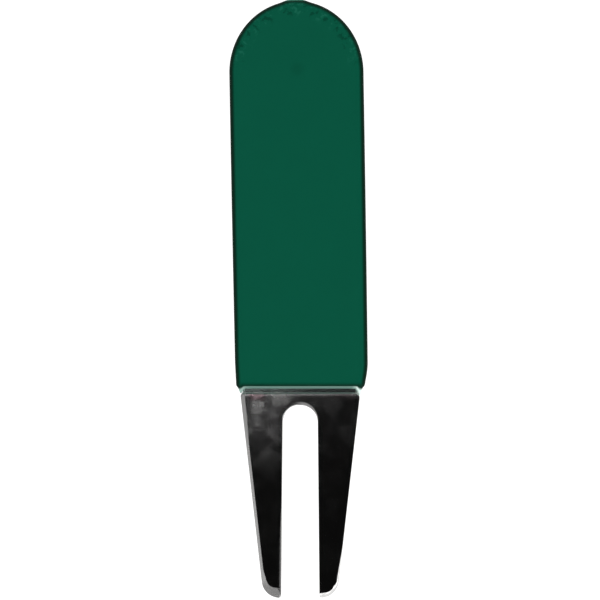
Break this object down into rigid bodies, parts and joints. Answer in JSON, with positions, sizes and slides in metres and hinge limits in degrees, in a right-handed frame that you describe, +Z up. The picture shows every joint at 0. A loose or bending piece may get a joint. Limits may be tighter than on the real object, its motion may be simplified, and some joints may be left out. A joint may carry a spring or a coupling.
{
  "type": "divot repair tool",
  "caption": "Pocket golf turf repair fork: stamped steel prongs on a flat tang, held in a round-ended green vinyl grip sleeve.",
  "frame": {"origin": "under the middle of the tool's length and width, on the plane of the grip's back face", "axes": "+X across the tool, +Y from the prong tips to the grip's round end, +Z up out of the front face, with the tool lying on its back"},
  "size_m": [0.0186, 0.0826, 0.0042],
  "materials": {
    "polished_steel": "polished",
    "green_vinyl": "satin"
  },
  "bodies": {
    "root": {"steel_fork": "polished_steel", "grip_sleeve": "green_vinyl"}
  },
  "joints": []
}
